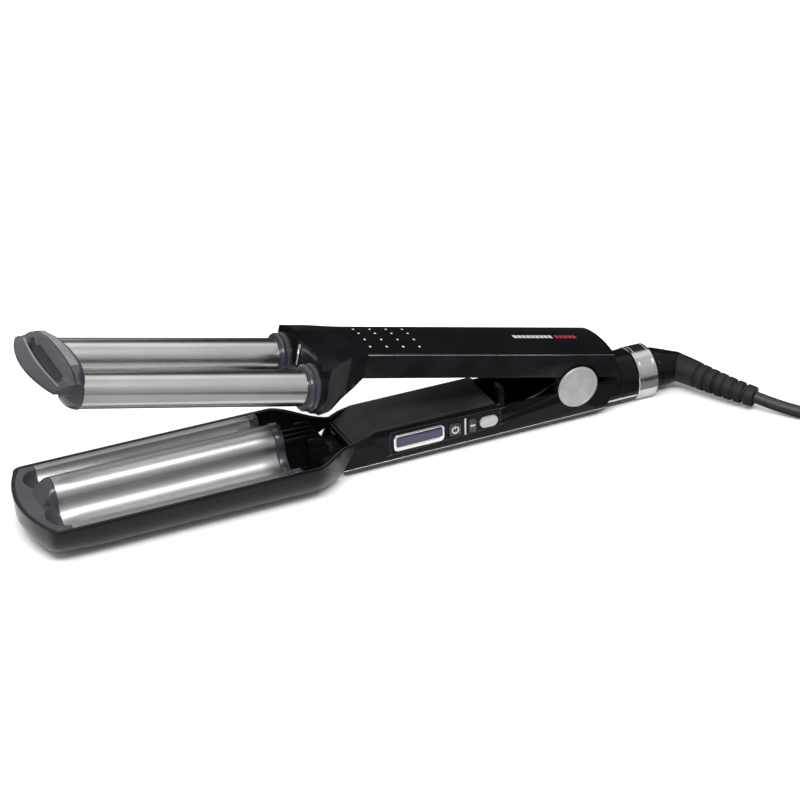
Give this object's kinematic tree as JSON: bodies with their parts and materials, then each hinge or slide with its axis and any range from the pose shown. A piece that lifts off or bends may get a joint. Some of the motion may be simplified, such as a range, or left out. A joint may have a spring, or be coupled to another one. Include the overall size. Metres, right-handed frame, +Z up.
{
  "type": "hair crimper",
  "caption": "Triple-barrel hair waver: two heated barrels on a hinged upper arm close into a ridged plate on the lower arm; side panel, swivel mains lead.",
  "frame": {"origin": "on the resting face, straight under the middle of the hinge pin", "axes": "+X from the tips to the mains lead, +Y away from the control panel, +Z up from the resting face"},
  "size_m": [0.56, 0.1157, 0.0947],
  "materials": {
    "gloss_black": "high gloss black moulded nylon",
    "matte_black": "fine satin texture, dark grey",
    "violet_grey": "semi-gloss violet-grey heat-resistant resin",
    "titanium": "satin titanium-coated metal, drawn along its length",
    "silver_trim": "bright silver strip",
    "satin_disc": "spun satin aluminium",
    "steel": "plain steel",
    "spring_steel": "drawn spring wire",
    "aluminium": "machined aluminium",
    "ceramic": "unglazed heater ceramic",
    "mica": "mica laminate sheet",
    "lens": "tinted display window",
    "board": "printed circuit board",
    "button_dark": "gloss dark key with a pale ring",
    "button_silver": "silver painted key",
    "print_white": "pale printed or inlaid mark",
    "bush_bronze": "sintered bronze",
    "cord_rubber": "matte black lead sheath",
    "feet_rubber": "soft black rubber",
    "plug_pin": "nickel-plated pin"
  },
  "bodies": {
    "lower_arm": {"jaw_shell": "gloss_black", "lower_end_cap": "violet_grey", "wave_plate": "titanium", "lower_collar": "violet_grey", "lower_bracket": "matte_black", "heat_spreader": "aluminium", "lower_heater": "ceramic", "heat_shield": "mica", "lower_handle": "gloss_black", "lower_inner_cover": "matte_black", "lower_base": "matte_black", "lower_trim": "silver_trim", "display_bezel": "silver_trim", "display_lens": "lens", "display_module": "board", "control_board": "board", "board_clip": "matte_black", "divider_bar": "print_white", "hinge_pin": "steel", "hinge_disc_near": "satin_disc", "hinge_disc_far": "satin_disc", "torsion_spring": "spring_steel", "swivel_housing": "gloss_black", "swivel_ring": "silver_trim", "base_screws": "steel", "rubber_feet": "feet_rubber", "wire_guide": "matte_black"},
    "upper_arm": {"upper_end_cap": "violet_grey", "barrel_near": "titanium", "barrel_far": "titanium", "heater_rod_near": "ceramic", "heater_rod_far": "ceramic", "collar_near": "violet_grey", "collar_far": "violet_grey", "upper_bracket": "gloss_black", "upper_handle_base": "gloss_black", "upper_handle_cover": "gloss_black", "upper_trim": "silver_trim", "grip_dots": "print_white", "name_bar": "print_white", "hinge_bushes": "bush_bronze", "bracket_screws": "steel"},
    "power_button": {"power_button": "button_dark"},
    "level_key": {"level_key": "button_silver"},
    "ion_button": {"ion_button": "button_silver"},
    "lead_swivel": {"swivel_head": "gloss_black", "strain_relief": "cord_rubber", "cord_tube": "cord_rubber", "cord_coil": "cord_rubber", "cord_tail": "cord_rubber", "cord_tie": "cord_rubber", "plug_body": "cord_rubber", "plug_pins": "plug_pin"}
  },
  "joints": [
    {"name": "arm_hinge", "type": "hinge", "parent": "lower_arm", "child": "upper_arm", "pos_m": [0, 0, 0.0215], "axis": [0, 1, 0], "range_deg": [-13.2, 0], "stiffness_Nm_per_rad": 1, "springref_deg": 22.92, "deforming": ["torsion_spring"]},
    {"name": "power_press", "type": "slide", "parent": "lower_arm", "child": "power_button", "axis": [0, 1, 0], "range_m": [0, 0.0008], "stiffness_N_per_m": 800, "springref_m": -0.0005},
    {"name": "level_press", "type": "slide", "parent": "lower_arm", "child": "level_key", "axis": [0, 1, 0], "range_m": [0, 0.0008], "stiffness_N_per_m": 800, "springref_m": -0.0005},
    {"name": "ion_press", "type": "slide", "parent": "lower_arm", "child": "ion_button", "axis": [0, 1, 0], "range_m": [0, 0.0008], "stiffness_N_per_m": 800, "springref_m": -0.0005},
    {"name": "cord_swivel", "type": "hinge", "parent": "lower_arm", "child": "lead_swivel", "pos_m": [0.055, 0, 0.0112], "axis": [1, 0, 0], "continuous": true}
  ]
}
